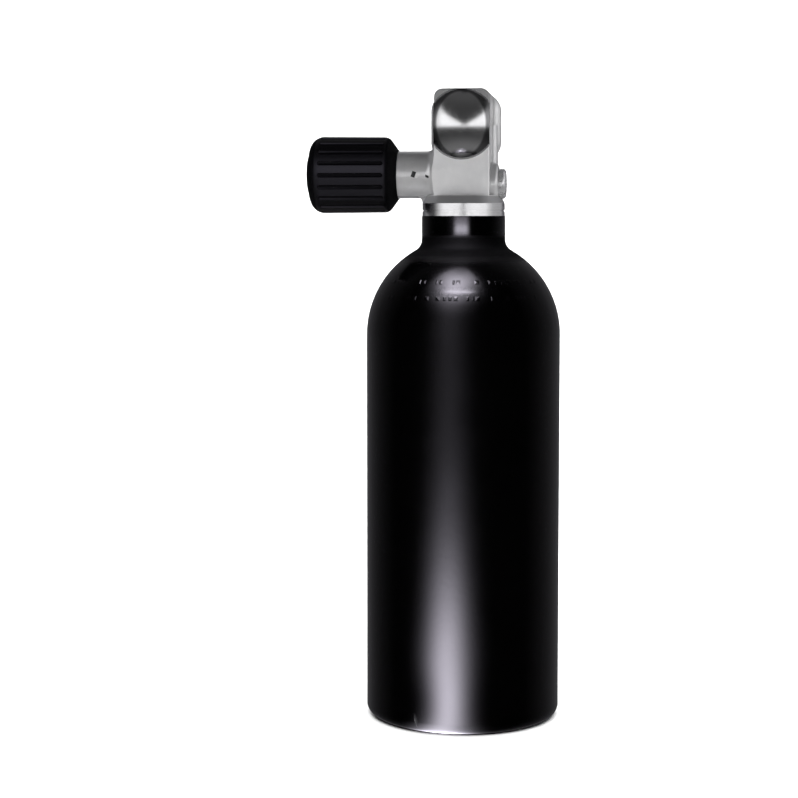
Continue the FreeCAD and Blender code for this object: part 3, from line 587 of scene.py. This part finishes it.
def make_top_light(look):
    """Soft box over the front of the tank, and a faint light from there down to the horizon.

    The box is as wide at its top as at its bottom, so it takes up more azimuth there.
    """
    middle, height = -12, 63
    half_width, upper_half, lower_half = 11.5, 10.5, 13
    box_level, faint_level = 12, 0.42

    def glow(azimuth, elevation):
        across = half_width / max(0.15, math.cos(math.radians(elevation)))
        upright = upper_half if elevation > height else lower_half
        box = box_level * bell(azimuth, middle, across) * bell(elevation, height, upright)
        return box + faint_level * bell(azimuth, middle, 12) * (1 - step_up(elevation, 30, 20))

    place = round_about((0, 0, 0.24), 3.1)
    make_soft_panel("top_light", look, spaced(-66, 42, 31), spaced(-4, 88, 31), place, glow)


def make_side_lights(look):
    """Tall bright walls to the left and right of the camera, from the horizon up, dim beside the tank."""
    centre = 5
    half_turn = 140
    distance = 1.4
    bottom, low_top, top_slope = -5.5, 1, 0.58
    level, left_level = 1.25, 0.3
    left_dimming, right_dimming = 1.0, 0.6

    def place(azimuth, share):
        top = low_top + top_slope * abs(azimuth - centre)
        return from_direction(azimuth, share * (top - bottom) + bottom, distance, (0, 0, 0.3))

    def glow(azimuth, share):
        left = azimuth < centre
        turn = abs(azimuth - centre)
        dimming = left_dimming if left else right_dimming
        near = (0.85 + 0.15 * step_up(turn, 0, 22)) * (1 - dimming * step_up(turn, 56, 38))
        beside = left_level * step_up(turn, 100, 20) if left else 0
        edge = step_up(share, 0, 0.12) * (1 - step_up(share, 0.75, 0.25))
        return (level * near + beside) * edge * (1 - step_up(turn, 128, 12))

    azimuths = spaced(centre - half_turn, centre + half_turn, 113)
    make_soft_panel("side_lights", look, azimuths, spaced(0, 1, 17), place, glow)


def make_back_glow(look):
    """Soft boxes behind the valve, one over it and one under it."""
    middle = 185

    def glow(azimuth, elevation):
        high = 0.8 * bell(azimuth, middle, 9) * bell(elevation, 34, 10)
        low = 0.5 * bell(azimuth, middle, 12) * bell(elevation, -25, 10)
        return high + low

    place = round_about((0, 0, 0.3), 1.4)
    make_soft_panel("back_glow", look, spaced(155, 215, 25), spaced(-50, 50, 33), place, glow)


def make_room_glow(look):
    """Faint light from the whole room in front of the valve."""
    def glow(_, elevation):
        middle, high, low = 0.04, 0.03, 0.12
        return middle + high * step_up(elevation, 35, 40) + low * step_up(-elevation, 20, 40)

    place = round_about((0, 0, 0.3), 3.0)
    make_soft_panel("room_glow", look, spaced(-100, 110, 43), spaced(-85, 85, 35), place, glow)


def make_neck_light(look):
    """Small strip lamp close in front of the neck, brightest across its middle and fainter above."""
    radius = 0.075
    middle_z = 0.2834
    middle_level, upper_level = 13, 3

    def place(azimuth, z):
        return from_direction(azimuth, 0, radius, (0, 0, z))

    def glow(azimuth, z):
        strip = middle_level * bell(z, middle_z, 0.0017) + upper_level * step_up(z, middle_z, 0.002)
        return strip * (1 - step_up(abs(azimuth), 8, 13))

    make_soft_panel("neck_light", look, spaced(-24, 24, 25), spaced(0.279, 0.292, 27), place, glow)


def make_knob_light(look):
    """Soft light in front of the knob and below it."""
    def glow(azimuth, elevation):
        upper = bell(elevation, 20, 11)
        lower = 0.34 * (1 - step_up(elevation, 5, 15))
        return bell(azimuth, 0, 45) * (upper + lower)

    place = round_about((-0.06, 0, KNOB_Z), 1.5)
    make_soft_panel("knob_light", look, spaced(-80, 90, 35), spaced(-75, 65, 29), place, glow)


# ---------------------------------------------------------------- lamps

def make_area_lamp(name, place, rotation, size, watts, lit):
    """Plain soft lamp for one group of objects, that shows in no reflection."""
    data = bpy.data.lights.new(name, "AREA")
    data.shape = "RECTANGLE"
    data.size, data.size_y = size
    data.energy = watts
    lamp = bpy.data.objects.new(name, data)
    lamp.location = place
    lamp.rotation_euler = rotation
    hide_from(lamp, "glossy", "camera")
    bpy.context.scene.collection.objects.link(lamp)
    lamp.light_linking.receiver_collection = lit


def make_valve_lamp(name, azimuth, elevation, size, watts, lit):
    """Lamp aimed at the valve's head, for the matt faces of some pieces."""
    head = Vector((0, 0, HEAD_Z))
    place = from_direction(azimuth, elevation, 1.2, head)
    rotation = (place - head).to_track_quat("Z", "Y").to_euler()
    make_area_lamp(name, place, rotation, size, watts, lit)


def make_room_lamp(name, height, lean, size, watts, lit):
    """Lamp over the tank; a lean in degrees turns it from the floor towards the wall behind."""
    make_area_lamp(name, (0, 0.2, height), (math.radians(lean), 0, 0), size, watts, lit)


def lit_group(name, pieces):
    group = bpy.data.collections.new(name)
    for piece in pieces:
        group.objects.link(piece)
    return group


def make_lights(pieces, floor):
    """One set of lights each for the black bottle, the knob, the bright metal and the floor."""
    nodes = frame["nodes"]
    bottle = [nodes["cylinder_shell"]] + [p for p in pieces if p.name == "shoulder_stamps"]
    knob = [nodes["knob_grip"], nodes["knob_core"]]
    metal = [o for o in nodes.values() if o not in bottle + knob] + [p for p in pieces if p not in bottle]
    violet_white = make_glow_material("violet_white_light", (0.985, 0.94, 1.08))
    violet = make_glow_material("violet_light", (0.98, 0.94, 1.16))
    white = make_glow_material("white_light", (1.0, 0.995, 1.0))

    for_bottle = (violet_white, lit_group("lit_bottle", bottle))
    lit_metal = lit_group("lit_metal", metal)
    for_metal = (white, lit_metal)
    make_low_light("front_light", for_bottle, -12, 13.5, 1)
    make_low_light("back_light", for_bottle, 185, 5, 0.5)
    make_top_light(for_bottle)
    make_neck_light(for_bottle)
    make_knob_light((violet, lit_group("lit_knob", knob)))
    make_side_lights(for_metal)
    make_back_glow(for_metal)
    make_room_glow(for_metal)

    make_valve_lamp("low_valve_lamp", -4, -24, (1.2, 0.4), 31, lit_metal)
    make_valve_lamp("high_valve_lamp", -25, 50, (0.7, 0.5), 1.5, lit_metal)
    make_valve_lamp("right_valve_lamp", 75, 0, (0.5, 0.7), 3, lit_metal)
    lit_room = lit_group("lit_room", [floor])
    make_room_lamp("ceiling_lamp", 2.4, 0, (4.0, 4.0), 190, lit_room)
    make_room_lamp("wall_lamp", 1.8, 65, (4.0, 1.0), 70, lit_room)


def make_world():
    """Dim room, a little lighter behind the tank."""
    world = bpy.data.worlds.new("studio")
    world.use_nodes = True
    tree = world.node_tree
    coordinates = tree.nodes.new("ShaderNodeTexCoord")
    split = tree.nodes.new("ShaderNodeSeparateXYZ")
    behind = tree.nodes.new("ShaderNodeMapRange")
    behind.inputs["From Min"].default_value = -0.1
    behind.inputs["From Max"].default_value = 0.8
    behind.inputs["To Min"].default_value = 0.004
    behind.inputs["To Max"].default_value = 0.12
    background = tree.nodes["Background"]
    background.inputs["Color"].default_value = (0.95, 0.93, 1.0, 1)
    tree.links.new(coordinates.outputs["Generated"], split.inputs[0])
    tree.links.new(split.outputs["Y"], behind.inputs["Value"])
    tree.links.new(behind.outputs["Result"], background.inputs["Strength"])
    bpy.context.scene.world = world
    bpy.context.scene.view_settings.view_transform = "Standard"


def make_camera():
    """Camera at the photograph's viewing angle."""
    azimuth = math.radians(CAMERA_AZIMUTH_DEG)
    data = bpy.data.cameras.new("camera")
    data.lens = CAMERA_LENS_MM
    data.sensor_width = 36
    data.shift_y = CAMERA_SHIFT_Y
    camera = bpy.data.objects.new("camera", data)
    side = CAMERA_DISTANCE * math.sin(azimuth)
    front = -CAMERA_DISTANCE * math.cos(azimuth)
    camera.location = (side, front, CAMERA_HEIGHT)
    yaw = azimuth + math.radians(CAMERA_YAW_DEG)
    camera.rotation_euler = (math.radians(90 + CAMERA_PITCH_DEG), 0, yaw)
    bpy.context.scene.collection.objects.link(camera)
    bpy.context.scene.camera = camera


paint_cad_nodes()
pieces = [make_outlet_thread(), make_shoulder_stamps(), make_branch_marks()]
make_room_wall()
make_lights(pieces, make_floor())
make_world()
make_camera()
